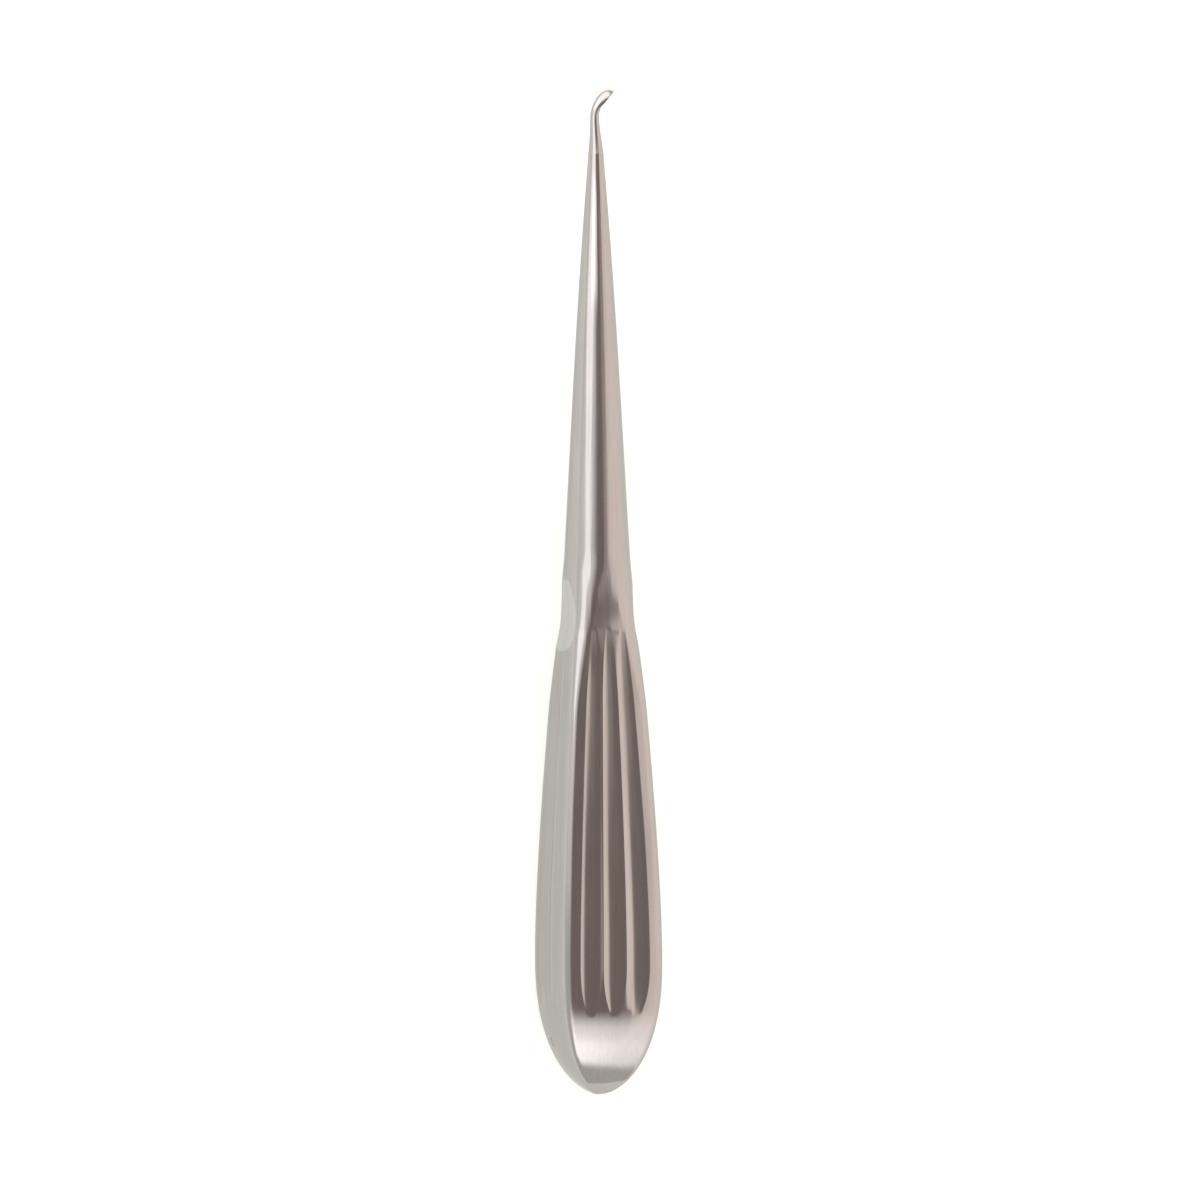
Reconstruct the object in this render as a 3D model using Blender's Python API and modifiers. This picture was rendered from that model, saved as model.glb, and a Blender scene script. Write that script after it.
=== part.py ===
"""Dental elevator with a hollow fluted handle and a small spoon at its tip.

The instrument lies along Y with its tip towards +Y. The handle's front face is +Z, and the tip
bends towards +X. The origin is under the middle of the object's box, at the level it lies on.

Sizes below are millimetres. A station is a distance along the long axis from the butt end.
"""
import math

import bmesh
import bpy
from mathutils import Vector

MM = 0.001
GAP = 0.3                      # clearance kept between pieces that touch on the real instrument

# Long axis
LENGTH = 170.0
BELLY_STATION = 23.0           # widest place of the handle
FLAT_END_STATION = 78.5        # lower end of the plain neck flats
ROUND_STATION = 84.0           # above this the neck is round
NECK_STATION = 88.4            # joint between handle and shank
TIP_STATION = 158.75           # joint between shank and working tip

# Handle section: a rounded square with slightly bowed faces
BELLY_HALF = 8.9               # half the distance across the corners' tangent lines
NECK_FLAT = 5.92               # distance of the neck's flat from the axis
CORNER_RADIUS = 1.7
BOW_RADIUS = 86.0
BUTT_POWER_ALONG = 2.35        # the butt's outline is a superellipse
BUTT_POWER_ACROSS = 1.8
BULGE_ABOVE_BELLY = 15.0       # handle lengths of the outline's two curve handles
BULGE_BELOW_NECK = 13.5
NECK_SLOPE = 0.0726
CORNER_GROWTH = 20.0           # length over which the round neck becomes square

# Flutes
FLUTES = (-1, 0, 1)
RAIL_WIDTH = 2.35              # plain border between a face's edge and its first flute
FLUTE_LAND = 0.12              # half the narrow land between two flutes
FLUTE_WALL_ANGLE = math.radians(14.0)
FLUTE_BUTT_STATION = 13.2
FLUTE_BUTT_RUN = 8.0
FLUTE_NECK_STATION = 78.4
FLUTE_NECK_RUN = 12.0

# Side scoops of the neck: two tangent arcs, the upper one gentler
SCOOP_STATION = 81.5
SCOOP_OFFSET = 5.11
SCOOP_UPPER_RADIUS = 24.0
SCOOP_LOWER_RADIUS = 13.0
SCOOP_REACH = 9.0              # length of each of the cutter's arcs
SCOOP_HALF_HEIGHT = 8.0

# Shank
SHANK_NECK_RADIUS = 5.73
SHANK_SLOPE = 0.0552
SHANK_BEND_STATION = 118.0     # from here the taper steepens towards the tip
SHANK_BEND = 0.000316
TANG_RADIUS = 2.5
TANG_END_STATION = 70.0
SPIGOT_RADIUS = 0.55
SPIGOT_LENGTH = 5.5

# Handle inside
WALL = 1.35
CAVITY_START = 3.0
CAVITY_SHOULDER = 69.0         # from here the hollow narrows to the bore
CAVITY_CORNER = 0.4            # least corner radius of the hollow
CAVITY_EXTRA = 0.6             # the hollow's corners are this much rounder than an even wall's
CAVITY_BUTT_ROUNDING = 0.35    # share of the width by which its butt end is rounder still
CAVITY_CROWDING = 1.3          # its sections stand closer together near the butt
BORE_RADIUS = 4.3
BORE_STATION = 72.0

# Welds
BEAD_HALF = 0.2                # half thickness of the seam weld
RING_THICKNESS = 0.4

# Vent plug, on the left face near the butt
VENT_STATION = 8.9
VENT_SIDE = -2.3
VENT_RADIUS = 0.6
VENT_DEPTH = 0.9
VENT_HOLE_TOP = 2.0            # the hole's cutter reaches from outside the wall to the hollow
VENT_HOLE_BOTTOM = -3.0

# Boxes that part the handle's blank into two shells and the bead
SPACE_WIDTH = 30.0
SPACE_HEIGHT = 12.0

# Working tip
TIP_NECK_RADIUS = 0.755
TIP_FLARE = 0.6                # added radius where the neck meets the shank
TIP_SWAY = 0.2                 # the neck leans back this far before it bends over
TIP_BEND_STATION = 165.3
SPOON_HALF_WIDTH = 1.05
SPOON_WALL = 0.34
SPOON_RIM = 0.12               # width of the rim round the cup
TOE_END = 0.985                # the spoon's outline stops just short of its pointed end
# Outer and inner edges of the bent end in its own plane: (offset towards +X, station)
TIP_OUTER_EDGE = ((-0.955, 165.3), (-0.95, 167.3), (0.8, 170.74), (3.2, 169.8))
TIP_INNER_EDGE = ((0.555, 165.3), (0.6, 167.3), (1.2, 167.5), (3.2, 169.7))

# How finely the pieces are divided
BUTT_ANGLES = (6, 13, 21, 29, 37, 46, 55, 64, 73, 82, 90)
BODY_STEPS = 7
RUNOUT_STEPS = 6
NECK_STEPS = 3
CAVITY_STEPS = 12
ARC_STEPS = 10
SHANK_STEPS = 12
TURN_STEPS = 40
TIP_STEPS = 24
FLARE_STEPS = 7
SPOON_STEPS = 20


def smooth(x):
    """Ease from 0 to 1 as x goes from 0 to 1."""
    x = min(max(x, 0.0), 1.0)
    return x * x * (3.0 - 2.0 * x)


def mix(a, b, x):
    return a + (b - a) * x


# ---------------------------------------------------------------- handle outline

def bezier(points, u):
    a, b, c, d = points
    v = 1.0 - u
    return [v * v * v * p + 3.0 * v * v * u * q + 3.0 * v * u * u * r + u * u * u * t
            for p, q, r, t in zip(a, b, c, d)]


def shank_radius(station):
    """Radius of the long round taper, which the handle's neck shares."""
    bend = max(station - SHANK_BEND_STATION, 0.0)
    return SHANK_NECK_RADIUS - SHANK_SLOPE * (station - NECK_STATION) - SHANK_BEND * bend * bend


def handle_half(station):
    """Half the handle's width across flats."""
    if station >= FLAT_END_STATION:
        return min(shank_radius(station), NECK_FLAT)
    if station <= BELLY_STATION:
        along = 1.0 - station / BELLY_STATION
        across = max(1.0 - along ** BUTT_POWER_ALONG, 0.0) ** (1.0 / BUTT_POWER_ACROSS)
        return BELLY_HALF * across
    outline = (
        (FLAT_END_STATION, NECK_FLAT),
        (FLAT_END_STATION - BULGE_BELOW_NECK, NECK_FLAT + NECK_SLOPE * BULGE_BELOW_NECK),
        (BELLY_STATION + BULGE_ABOVE_BELLY, BELLY_HALF),
        (BELLY_STATION, BELLY_HALF),
    )
    low, high = 0.0, 1.0
    for _ in range(40):
        middle = 0.5 * (low + high)
        if bezier(outline, middle)[0] > station:
            low = middle
        else:
            high = middle
    return bezier(outline, low)[1]


def corner_radius(station):
    """Radius of the handle's long edges, which open out into the round neck."""
    half = handle_half(station)
    if station >= ROUND_STATION:
        return half
    if station <= BELLY_STATION:
        return CORNER_RADIUS * half / BELLY_HALF
    x = min((ROUND_STATION - station) / CORNER_GROWTH, 1.0)
    return mix(CORNER_RADIUS, NECK_FLAT, (1.0 - x) ** 2)


def bow_curvature(station):
    """Curvature of a face across its width: none on the neck's flats."""
    full = BELLY_HALF / (BOW_RADIUS * max(handle_half(station), 0.1))
    return full * smooth((FLAT_END_STATION - station) / FLUTE_NECK_RUN)


def face_height(across, half, corner, curvature):
    """Height of a plain face above the axis, at a distance from the face's middle line."""
    across = abs(across)
    centre = half - corner
    if curvature * half < 1e-4:
        if across <= centre:
            return half
        return centre + math.sqrt(max(corner ** 2 - (across - centre) ** 2, 0.0))
    bow = 1.0 / curvature
    bow_centre = centre - math.sqrt((bow - corner) ** 2 - centre ** 2)
    join = centre + corner * centre / (bow - corner)
    if across <= join:
        return bow_centre + math.sqrt(bow ** 2 - across ** 2)
    return centre + math.sqrt(max(corner ** 2 - (across - centre) ** 2, 0.0))


def flute_fill(station):
    """How far a flute is sunk, from 0 at its two ends to 1 along its middle."""
    butt = min(max((station - FLUTE_BUTT_STATION) / FLUTE_BUTT_RUN, 0.0), 1.0)
    neck = min(max((FLUTE_NECK_STATION - station) / FLUTE_NECK_RUN, 0.0), 1.0)
    return butt * (2.0 - butt) * neck * (2.0 - neck)


def face_outline(station, rail_steps, flute_steps):
    """One face of the handle's section, from its left edge to its right: (across, height)."""
    half = handle_half(station)
    corner = corner_radius(station)
    curvature = bow_curvature(station)
    edge = (half - corner) + corner * math.sqrt(0.5)
    field = max(half - RAIL_WIDTH, 0.45 * half)
    pitch = 2.0 * field / 3.0
    full_width = 0.5 * pitch - FLUTE_LAND * min(pitch, 1.0)
    depth = full_width * math.tan(0.5 * FLUTE_WALL_ANGLE) * flute_fill(station)
    width = full_width * max(math.sqrt(flute_fill(station)), 0.55)

    spots = [mix(-edge, -field, i / rail_steps) for i in range(rail_steps)]
    for flute in FLUTES:
        for i in range(flute_steps + 1):
            spots.append(flute * pitch + width * (2.0 * i / flute_steps - 1.0))
    spots += [mix(field, edge, (i + 1) / rail_steps) for i in range(rail_steps)]

    outline = []
    for across in spots:
        sink = 0.0
        for flute in FLUTES:
            offset = (across - flute * pitch) / full_width
            sink = max(sink, depth - full_width * math.tan(0.5 * FLUTE_WALL_ANGLE) * offset ** 2)
        outline.append((across, face_height(across, half, corner, curvature) - sink))
    return outline


def handle_ring(station, rail_steps=4, flute_steps=4):
    """The handle's whole section, clockwise seen from the butt: (x, z) pairs."""
    face = face_outline(station, rail_steps, flute_steps)[:-1]
    ring = [(across, height) for across, height in face]
    ring += [(height, -across) for across, height in face]
    ring += [(-across, -height) for across, height in face]
    ring += [(-height, across) for across, height in face]
    return ring


def rounded_square_ring(half, corner, steps=5):
    """A plain rounded square: (x, z) pairs in the same sense as handle_ring."""
    ring = []
    for quarter in range(4):
        turn = -quarter * math.pi / 2.0
        for i in range(steps):
            angle = mix(math.pi / 2.0, 0.0, i / (steps - 1)) + turn
            centre = Vector((half - corner, half - corner))
            centre = Vector((centre.x * math.cos(turn) - centre.y * math.sin(turn),
                             centre.x * math.sin(turn) + centre.y * math.cos(turn)))
            ring.append((centre.x + corner * math.cos(angle), centre.y + corner * math.sin(angle)))
    return ring


def middle_land_height():
    """Height above the axis of the highest lands, which the instrument lies on."""
    return max(height for _, height in face_outline(BELLY_STATION, 4, 4))


AXIS_HEIGHT = middle_land_height()


def place(x, station, z):
    """A point in metres from its offsets to the long axis and its station."""
    return Vector((x, station - LENGTH / 2.0, z + AXIS_HEIGHT)) * MM


# ---------------------------------------------------------------- mesh helpers

def make_collection(name):
    collection = bpy.data.collections.new(name)
    bpy.context.scene.collection.children.link(collection)
    return collection


def make_material(name, colour, roughness, metallic=1.0):
    material = bpy.data.materials.new(name)
    material.use_nodes = True
    shader = material.node_tree.nodes["Principled BSDF"]
    shader.inputs["Base Color"].default_value = (*colour, 1.0)
    shader.inputs["Roughness"].default_value = roughness
    shader.inputs["Metallic"].default_value = metallic
    material.diffuse_color = (*colour, 1.0)
    return material


def add_object(name, mesh, collection, material=None, sharp_angle=20.0):
    thing = bpy.data.objects.new(name, mesh)
    collection.objects.link(thing)
    if material is not None:
        mesh.materials.append(material)
    mesh.shade_smooth()
    mesh.set_sharp_from_angle(angle=math.radians(sharp_angle))
    return thing


def loft_mesh(name, rings):
    """Join rings of points in order and close both ends. All rings have the same count."""
    work = bmesh.new()
    rows = [[work.verts.new(point) for point in ring] for ring in rings]
    for row, following in zip(rows, rows[1:]):
        for i, corner in enumerate(row):
            before = i - 1
            work.faces.new((row[before], corner, following[i], following[before]))
    work.faces.new(rows[0])
    work.faces.new(list(reversed(rows[-1])))
    bmesh.ops.recalc_face_normals(work, faces=work.faces)
    mesh = bpy.data.meshes.new(name)
    work.to_mesh(mesh)
    work.free()
    return mesh


def turned_object(name, profile, collection, material, steps=TURN_STEPS):
    """Turn a closed profile of (radius, station) points about the long axis."""
    mesh = bpy.data.meshes.new(name)
    points = [(radius * MM, 0.0, station * MM) for radius, station in profile]
    touches_axis = profile[0][0] == 0.0
    edges = [(i, i + 1) for i in range(len(points) - 1)]
    if not touches_axis:
        edges.append((len(points) - 1, 0))
    mesh.from_pydata(points, edges, [])
    thing = add_object(name, mesh, collection, material)
    screw = thing.modifiers.new("turn", 'SCREW')
    screw.axis = 'Z'
    screw.steps = steps
    screw.render_steps = steps
    screw.use_merge_vertices = True
    screw.merge_threshold = 0.00001
    thing.rotation_euler = (-math.pi / 2.0, 0.0, 0.0)
    thing.location = place(0.0, 0.0, 0.0)
    return thing


def add_cut(thing, cutter, operation):
    cut = thing.modifiers.new(operation.lower() + "_" + cutter.name, 'BOOLEAN')
    cut.operation = operation
    cut.solver = 'EXACT'
    cut.object = cutter


def hide_cutter(thing):
    thing.hide_render = True
    thing.display_type = 'WIRE'


# ---------------------------------------------------------------- handle

def handle_stations():
    """Stations of the handle's sections: close together where its outline turns."""
    stations = [BELLY_STATION * (1.0 - math.cos(math.radians(angle))) for angle in BUTT_ANGLES]
    runout = FLUTE_NECK_STATION - FLUTE_NECK_RUN
    stations += even_stations(BELLY_STATION, runout, BODY_STEPS)
    stations += even_stations(runout, FLAT_END_STATION, RUNOUT_STEPS)
    stations += even_stations(FLAT_END_STATION, ROUND_STATION, NECK_STEPS)
    return stations + [NECK_STATION - RING_THICKNESS / 2.0 - GAP]


def even_stations(start, end, count):
    """Stations after start, up to and with end."""
    return [mix(start, end, (i + 1) / count) for i in range(count)]


def make_blank_mesh():
    """The handle's outside as one solid."""
    rings = []
    for station in handle_stations():
        rings.append([place(x, station, z) for x, z in handle_ring(station)])
    pole = place(0.0, 0.0, 0.0)
    mesh = loft_mesh("handle_blank", rings)
    work = bmesh.new()
    work.from_mesh(mesh)
    work.faces.ensure_lookup_table()
    end = min(work.faces, key=lambda face: face.calc_center_median().y)
    bmesh.ops.poke(work, faces=[end])
    tip = min(work.verts, key=lambda vert: (vert.co - pole).length)
    tip.co = pole
    work.to_mesh(mesh)
    work.free()
    return mesh


def make_cavity(cutters):
    """The hollow of the handle, which narrows to the bore that holds the bush."""
    rings = []
    for i in range(CAVITY_STEPS + 1):
        along = i / CAVITY_STEPS
        station = mix(CAVITY_START, CAVITY_SHOULDER, along ** CAVITY_CROWDING)
        half = handle_half(station) - WALL
        rounding = CAVITY_CORNER + CAVITY_BUTT_ROUNDING * half * (1.0 - along)
        corner = max(corner_radius(station) - WALL + CAVITY_EXTRA, rounding)
        rings.append([place(x, station, z) for x, z in rounded_square_ring(half, corner)])
    for station in (BORE_STATION, NECK_STATION + 2.0):
        ring = rounded_square_ring(BORE_RADIUS, BORE_RADIUS)
        rings.append([place(x, station, z) for x, z in ring])
    cavity = add_object("cavity", loft_mesh("cavity", rings), cutters)
    return cavity


def arc_points(radius, start, end, steps):
    """Points of the scoop's profile: (offset, station) from its deepest place."""
    points = []
    for i in range(steps + 1):
        along = mix(start, end, i / steps)
        rise = radius - math.sqrt(radius ** 2 - along ** 2)
        points.append((SCOOP_OFFSET + rise, SCOOP_STATION + along))
    return points


def make_scoop_cutter(name, side, cutters):
    """A bar whose inner edge is the scoop's two arcs, drawn flat and extruded."""
    edge = arc_points(SCOOP_LOWER_RADIUS, -SCOOP_REACH, 0.0, ARC_STEPS)
    edge += arc_points(SCOOP_UPPER_RADIUS, 0.0, SCOOP_REACH, ARC_STEPS)[1:]
    outline = edge + [(SCOOP_OFFSET + SCOOP_REACH, SCOOP_STATION + SCOOP_REACH),
                      (SCOOP_OFFSET + SCOOP_REACH, SCOOP_STATION - SCOOP_REACH)]
    curve = bpy.data.curves.new(name, 'CURVE')
    curve.dimensions = '2D'
    curve.fill_mode = 'BOTH'
    curve.extrude = SCOOP_HALF_HEIGHT * MM
    spline = curve.splines.new('POLY')
    spline.points.add(len(outline) - 1)
    for point, (offset, station) in zip(spline.points, outline):
        spot = place(side * offset, station, 0.0)
        point.co = (spot.x, spot.y, 0.0, 1.0)
    spline.use_cyclic_u = True
    drawn = bpy.data.objects.new(name + "_outline", curve)
    drawn.location = (0.0, 0.0, AXIS_HEIGHT * MM)
    cutters.objects.link(drawn)
    bpy.context.view_layer.update()
    evaluated = drawn.evaluated_get(bpy.context.evaluated_depsgraph_get())
    mesh = bpy.data.meshes.new_from_object(evaluated)
    work = bmesh.new()
    work.from_mesh(mesh)
    bmesh.ops.remove_doubles(work, verts=work.verts, dist=1e-6)
    bmesh.ops.recalc_face_normals(work, faces=work.faces)
    work.to_mesh(mesh)
    work.free()
    cutter = add_object(name, mesh, cutters)
    cutter.matrix_world = drawn.matrix_world
    bpy.data.objects.remove(drawn)
    return cutter


def make_box_cutter(name, low, high, cutters):
    """A box between two heights above the axis, wide and long enough for the handle."""
    bpy.ops.mesh.primitive_cube_add(size=1.0, location=(0.0, 0.0, 0.0))
    box = bpy.context.object
    box.name = name
    for collection in list(box.users_collection):
        collection.objects.unlink(box)
    cutters.objects.link(box)
    size = Vector((SPACE_WIDTH, 2.0 * LENGTH, high - low)) * MM
    for vert in box.data.vertices:
        vert.co = Vector((vert.co.x * size.x, vert.co.y * size.y, vert.co.z * size.z))
    box.location = place(0.0, LENGTH / 2.0, 0.5 * (low + high))
    return box


def vent_frame():
    """Centre and outward direction of the vent, on the surface of the left face."""
    def surface(station, side):
        half = handle_half(station)
        height = face_height(side, half, corner_radius(station), bow_curvature(station))
        return place(-height, station, side)

    step = 0.05
    along = surface(VENT_STATION + step, VENT_SIDE) - surface(VENT_STATION - step, VENT_SIDE)
    across = surface(VENT_STATION, VENT_SIDE + step) - surface(VENT_STATION, VENT_SIDE - step)
    outward = along.cross(across).normalized()
    if outward.x > 0.0:
        outward = -outward
    return surface(VENT_STATION, VENT_SIDE), outward


def make_vent_cylinder(name, radius, outer, inner, collection):
    """A cylinder on the vent's line, between two depths along its outward direction."""
    centre, outward = vent_frame()
    bpy.ops.mesh.primitive_cylinder_add(vertices=28, radius=radius * MM, depth=(outer - inner) * MM)
    plug = bpy.context.object
    plug.name = name
    for owner in list(plug.users_collection):
        owner.objects.unlink(plug)
    collection.objects.link(plug)
    plug.rotation_euler = outward.to_track_quat('Z', 'Y').to_euler()
    plug.location = centre + outward * (0.5 * (outer + inner) * MM)
    return plug


def make_handle(parts, cutters, material):
    blank = make_blank_mesh()
    cavity = make_cavity(cutters)
    scoops = [make_scoop_cutter("scoop_right", 1.0, cutters),
              make_scoop_cutter("scoop_left", -1.0, cutters)]
    bead_edge = BEAD_HALF + GAP
    slabs = {
        "handle_front_shell": make_box_cutter("front_space", bead_edge, SPACE_HEIGHT, cutters),
        "handle_rear_shell": make_box_cutter("rear_space", -SPACE_HEIGHT, -bead_edge, cutters),
        "seam_weld": make_box_cutter("bead_space", -BEAD_HALF, BEAD_HALF, cutters),
    }
    vent_hole = make_vent_cylinder("vent_hole", VENT_RADIUS + GAP, VENT_HOLE_TOP,
                                   VENT_HOLE_BOTTOM, cutters)
    for name, slab in slabs.items():
        piece = add_object(name, blank.copy(), parts, material)
        add_cut(piece, cavity, 'DIFFERENCE')
        for scoop in scoops:
            add_cut(piece, scoop, 'DIFFERENCE')
        add_cut(piece, slab, 'INTERSECT')
        if name == "handle_rear_shell":
            add_cut(piece, vent_hole, 'DIFFERENCE')
    for cutter in list(cutters.objects):
        hide_cutter(cutter)
    plug = make_vent_cylinder("vent_plug", VENT_RADIUS, 0.0, -VENT_DEPTH, parts)
    plug.data.materials.append(material)
    bpy.data.meshes.remove(blank)


# ---------------------------------------------------------------- turned pieces

def make_shank(parts, material):
    """Solid taper with a bore for the tip's spigot and a tang for the handle."""
    top = TIP_STATION - RING_THICKNESS / 2.0 - GAP
    shoulder = NECK_STATION + RING_THICKNESS / 2.0 + GAP
    bore_end = TIP_STATION + RING_THICKNESS / 2.0 + GAP - SPIGOT_LENGTH - GAP
    bore = SPIGOT_RADIUS + GAP
    profile = [(0.0, bore_end), (bore, bore_end), (bore, top)]
    for i in range(SHANK_STEPS + 1):
        station = mix(top, shoulder, i / SHANK_STEPS)
        profile.append((shank_radius(station), station))
    profile += [(TANG_RADIUS, shoulder), (TANG_RADIUS, TANG_END_STATION), (0.0, TANG_END_STATION)]
    turned_object("shank", profile, parts, material)


def make_ring(name, inner, outer, top, bottom, parts, material, steps=TURN_STEPS):
    profile = [(outer, top), (outer, bottom), (inner, bottom), (inner, top)]
    turned_object(name, profile, parts, material, steps)


def make_rings(parts, satin, filler):
    half = RING_THICKNESS / 2.0
    make_ring("neck_weld", TANG_RADIUS + GAP, shank_radius(NECK_STATION),
              NECK_STATION + half, NECK_STATION - half, parts, filler)
    make_ring("neck_bush", TANG_RADIUS + GAP, BORE_RADIUS - GAP,
              NECK_STATION - half - GAP, BORE_STATION, parts, satin)
    make_ring("tip_braze", SPIGOT_RADIUS + GAP, shank_radius(TIP_STATION),
              TIP_STATION + half, TIP_STATION - half, parts, filler, TIP_STEPS)


# ---------------------------------------------------------------- working tip

def spoon_section(x, thickness, steps):
    """Section of the bent end at x from 0 (neck) to 1 (toe).

    Gives (sideways, outward) pairs measured from the inner edge. The outer half is always a
    half ellipse. The inner half is round at the neck and sinks into a cup along the spoon.
    """
    spread = smooth(x / 0.55)
    toe = math.sqrt(max(1.0 - max((x - 0.6) / 0.4, 0.0) ** 2.4, 0.0))
    half_width = mix(TIP_NECK_RADIUS, SPOON_HALF_WIDTH, spread) * toe
    centre = thickness * mix(0.5, 0.0, spread)
    cup = smooth((x - 0.42) / 0.18)
    inner = mix(centre, -max(thickness - centre - SPOON_WALL, 0.0), cup)
    rim = SPOON_RIM * cup * toe
    points = []
    for i in range(steps):
        angle = 2.0 * math.pi * i / steps
        sideways = math.cos(angle)
        lift = math.sin(angle)
        if lift >= 0.0:
            points.append((half_width * sideways, centre + (thickness - centre) * lift))
        else:
            points.append(((half_width - rim) * sideways, centre + inner * lift))
    return points


def spoon_ring(x, steps):
    outer = Vector(bezier(TIP_OUTER_EDGE, x))
    inner = Vector(bezier(TIP_INNER_EDGE, x))
    outward = (outer - inner).normalized()
    ring = []
    for sideways, lift in spoon_section(x, (outer - inner).length, steps):
        spot = inner + outward * lift
        ring.append(place(spot.x, spot.y, sideways))
    return ring


def make_working_tip(parts, material):
    """Spigot, flared neck, bend and spoon as one loft."""
    steps = TIP_STEPS
    foot = TIP_STATION + RING_THICKNESS / 2.0 + GAP
    rings = []

    def round_ring(radius, station, lean):
        angles = [2.0 * math.pi * i / steps for i in range(steps)]
        rings.append([place(-lean - radius * math.sin(a), station, radius * math.cos(a))
                      for a in angles])

    round_ring(SPIGOT_RADIUS, foot - SPIGOT_LENGTH, 0.0)
    round_ring(SPIGOT_RADIUS, foot, 0.0)
    for i in range(FLARE_STEPS):
        station = mix(foot, TIP_BEND_STATION, i / FLARE_STEPS)
        spread = ((TIP_BEND_STATION - station) / (TIP_BEND_STATION - TIP_STATION)) ** 1.5
        lean = TIP_SWAY * smooth((station - foot) / (TIP_BEND_STATION - foot))
        round_ring(TIP_NECK_RADIUS + TIP_FLARE * spread, station, lean)

    for i in range(SPOON_STEPS + 1):
        rings.append(spoon_ring(TOE_END * i / SPOON_STEPS, steps))
    add_object("working_tip", loft_mesh("working_tip", rings), parts, material, sharp_angle=35.0)


# ---------------------------------------------------------------- build

def clear_scene():
    for thing in list(bpy.data.objects):
        bpy.data.objects.remove(thing)


def main():
    clear_scene()
    parts = make_collection("dental_elevator")
    cutters = make_collection("cutters")
    satin = make_material("satin_steel", (0.55, 0.52, 0.50), 0.32)
    polished = make_material("polished_steel", (0.62, 0.60, 0.59), 0.15)
    filler = make_material("weld_steel", (0.50, 0.48, 0.46), 0.40)
    make_handle(parts, cutters, satin)
    make_shank(parts, satin)
    make_rings(parts, satin, filler)
    make_working_tip(parts, polished)


main()
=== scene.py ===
"""Looks of the dental elevator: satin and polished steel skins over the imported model.

Sizes are millimetres. A station is a distance along the long axis from the butt end.
"""
import math

import bmesh
import bpy
from mathutils import Matrix, Vector


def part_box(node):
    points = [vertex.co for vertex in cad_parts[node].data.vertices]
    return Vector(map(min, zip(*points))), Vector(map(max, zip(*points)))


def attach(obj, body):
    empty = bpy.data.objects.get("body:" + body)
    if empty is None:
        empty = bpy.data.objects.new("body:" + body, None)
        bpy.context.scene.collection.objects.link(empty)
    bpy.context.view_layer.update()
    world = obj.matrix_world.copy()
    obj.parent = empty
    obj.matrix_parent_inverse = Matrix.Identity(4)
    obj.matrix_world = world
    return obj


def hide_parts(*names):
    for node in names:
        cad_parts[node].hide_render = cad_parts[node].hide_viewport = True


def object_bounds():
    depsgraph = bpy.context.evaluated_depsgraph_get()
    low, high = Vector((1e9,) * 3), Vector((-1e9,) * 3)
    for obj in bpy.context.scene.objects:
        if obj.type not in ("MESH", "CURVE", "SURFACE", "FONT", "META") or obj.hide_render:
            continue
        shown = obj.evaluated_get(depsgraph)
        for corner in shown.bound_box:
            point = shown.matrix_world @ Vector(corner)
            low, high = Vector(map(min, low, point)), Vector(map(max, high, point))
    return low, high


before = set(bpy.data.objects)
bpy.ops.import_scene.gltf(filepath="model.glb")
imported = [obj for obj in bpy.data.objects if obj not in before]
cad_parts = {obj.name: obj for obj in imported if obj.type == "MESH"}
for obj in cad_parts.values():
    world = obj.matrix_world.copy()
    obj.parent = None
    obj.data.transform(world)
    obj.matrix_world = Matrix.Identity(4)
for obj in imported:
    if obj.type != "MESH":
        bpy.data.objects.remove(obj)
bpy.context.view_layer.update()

MM = 0.001
POINT_RADIUS = 1e-6                  # a ring this small is drawn together to a point
SAME_POINT = 1e-7                    # metres
MERGE_DISTANCE = 2e-7                # metres
PLAIN_FACE = 1e-4                    # a face bowed less than this, in radians, is flat
SEARCH_STEPS = 40


def node_middle(node):
    low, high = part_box(node)
    return (low + high) / 2.0


BUTT_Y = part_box("seam_weld")[0].y
AXIS_Z = node_middle("seam_weld").z


def station_of(y):
    return (y - BUTT_Y) / MM


# Long axis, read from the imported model
NECK_STATION = station_of(node_middle("neck_weld").y)
TIP_STATION = station_of(node_middle("tip_braze").y)
TANG_END_STATION = station_of(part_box("shank")[0].y)
BELLY_STATION = 23.0
FLAT_END_STATION = 78.5
ROUND_STATION = 91.5

# Handle section: a rounded square with slightly bowed faces
BELLY_HALF = 8.9
NECK_FLAT = 6.0
CORNER_RADIUS = 1.7
BOW_RADIUS = 75.0
BOW_LEAST_HALF = 0.1                 # keeps the bow finite at the butt's pole
NECK_BOW = 1.0 / 32.0                # curvature of the faces at the neck
BUTT_POWER_ALONG = 2.35
BUTT_POWER_ACROSS = 1.8
BULGE_ABOVE_BELLY = 15.0
BULGE_BELOW_NECK = 13.5
NECK_SLOPE = 0.0726
NECK_END_SLOPE = 0.052
CORNER_GROWTH = 24.5
CORNER_FADE = 1.4
CORNER_EASE = 0.10

# Flutes
FLUTES = (-1, 0, 1)
RAIL_WIDTH = 2.35
FIELD_SHARE = 0.45                   # least share of the half width that the flutes take
FLUTE_LAND = 0.12
FLUTE_WALL_ANGLE = math.radians(20.0)
FLUTE_POWER = 3.5
FLUTE_BUTT_STATION = 14.0
FLUTE_BUTT_RUN = 8.0
FLUTE_NECK_STATION = 79.2
FLUTE_NECK_RUN = 12.8
FLUTE_REACH = 2.0
FLUTE_EDGE_SOFTNESS = 0.02
FLUTE_FADE = 8.0                     # the sinking fades out below a fill of one over this

# Side scoops of the neck
SCOOP_STATION = 81.5
SCOOP_OFFSET = 5.11
SCOOP_UPPER_RADIUS = 24.0
SCOOP_LOWER_RADIUS = 17.0
SCOOP_REACH = 9.0
SCOOP_EDGE_SOFTNESS = 0.06
SCOOP_FACING = 0.3                   # the ground faces look sideways: their normal's z is less

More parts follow.
